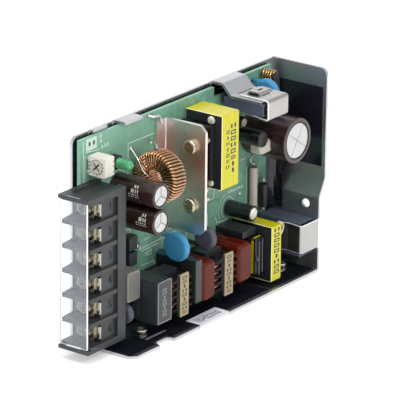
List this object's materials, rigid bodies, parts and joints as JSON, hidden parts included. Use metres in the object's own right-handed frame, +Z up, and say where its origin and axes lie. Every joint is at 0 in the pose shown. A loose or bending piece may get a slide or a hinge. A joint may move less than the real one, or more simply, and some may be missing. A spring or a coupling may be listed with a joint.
{
  "type": "power converter",
  "caption": "Open-frame switching power converter: bent metal chassis, circuit board with components, barrier terminal strip with clear cover.",
  "frame": {"origin": "middle of the bounding box's footprint, at the underside of the bottom plate", "axes": "+X along the length from the terminal end to the end plate, +Y from the components to the back plate, +Z up"},
  "size_m": [0.1368, 0.0274, 0.082],
  "materials": {
    "chassis_metal": "satin",
    "film_black": "gloss",
    "label_white": "matt",
    "board_green": "satin solder mask",
    "steel": "nickel plated",
    "strip_black": "matt moulded",
    "cover_clear": "clear",
    "trimmer_white": "satin moulded",
    "dial_white": "satin moulded",
    "lamp_green": "tinted clear",
    "holder_black": "matt",
    "can_aluminium": "etched",
    "sleeve_brown": "shrunk film",
    "sleeve_black": "shrunk film",
    "core_yellow": "painted",
    "copper_wire": "enamelled",
    "sink_aluminium": "mill",
    "package_black": "matt moulded",
    "tinned": "tinned",
    "ferrite": "matt",
    "bobbin_black": "matt moulded",
    "tape_yellow": "satin film",
    "winding_black": "satin film",
    "adhesive": "satin",
    "fuse_ceramic": "matt",
    "disc_blue": "dipped epoxy",
    "disc_grey": "dipped",
    "clip_steel": "nickel plated",
    "boot_grey": "satin",
    "box_grey": "satin moulded",
    "box_tan": "satin moulded",
    "film_red": "dipped epoxy",
    "label_tan": "film"
  },
  "bodies": {
    "converter": {"chassis": "chassis_metal", "insulating_film": "film_black", "end_film": "film_black", "edge_label": "label_white", "circuit_board": "board_green", "board_spacers": "steel", "board_screws": "steel", "clinch_nuts": "steel", "terminal_strip": "strip_black", "terminal_plates": "steel", "terminal_washers": "steel", "terminal_screws": "steel", "terminal_cover": "cover_clear", "trimmer_housing": "trimmer_white", "lamp_holder": "holder_black", "indicator_lamp": "lamp_green", "output_capacitor_cans": "can_aluminium", "output_capacitor_sleeves": "sleeve_brown", "toroid_core": "core_yellow", "toroid_winding": "copper_wire", "heatsink_plate": "sink_aluminium", "heatsink_fixings": "steel", "rectifier_bodies": "package_black", "rectifier_tabs": "tinned", "main_transformer_core": "ferrite", "main_transformer_bobbin": "bobbin_black", "main_transformer_winding": "winding_black", "main_transformer_tape": "tape_yellow", "driver_transformer_core": "ferrite", "driver_transformer_bobbin": "bobbin_black", "driver_transformer_winding": "tape_yellow", "driver_transformer_tape": "tape_yellow", "bulk_capacitor_can": "can_aluminium", "bulk_capacitor_sleeve": "sleeve_brown", "small_capacitor_cans": "can_aluminium", "small_capacitor_sleeves": "sleeve_black", "adhesive_beads": "adhesive", "ceramic_fuse": "fuse_ceramic", "snubber_diode": "package_black", "blue_disc_capacitors": "disc_blue", "power_discs": "disc_grey", "component_leads": "tinned", "filter_coil": "copper_wire", "filter_coil_rod": "ferrite", "switch_clip": "clip_steel", "bridge_clip": "clip_steel", "switch_boot": "boot_grey", "bridge_boot": "boot_grey", "switch_transistor": "package_black", "bridge_rectifier": "package_black", "line_capacitors": "box_grey", "film_capacitors": "film_red", "flat_capacitor": "package_black", "safety_capacitor": "box_tan", "choke_cores": "ferrite", "choke_bobbins": "bobbin_black", "choke_windings": "copper_wire", "choke_labels": "label_tan", "optocouplers": "package_black"},
    "dial": {"trimmer_dial": "dial_white"}
  },
  "joints": [
    {"name": "dial_turn", "type": "hinge", "parent": "converter", "child": "dial", "pos_m": [-0.05165, 0.0047, 0.0706], "axis": [1, 0, 0], "range_deg": [-115, 115]}
  ]
}
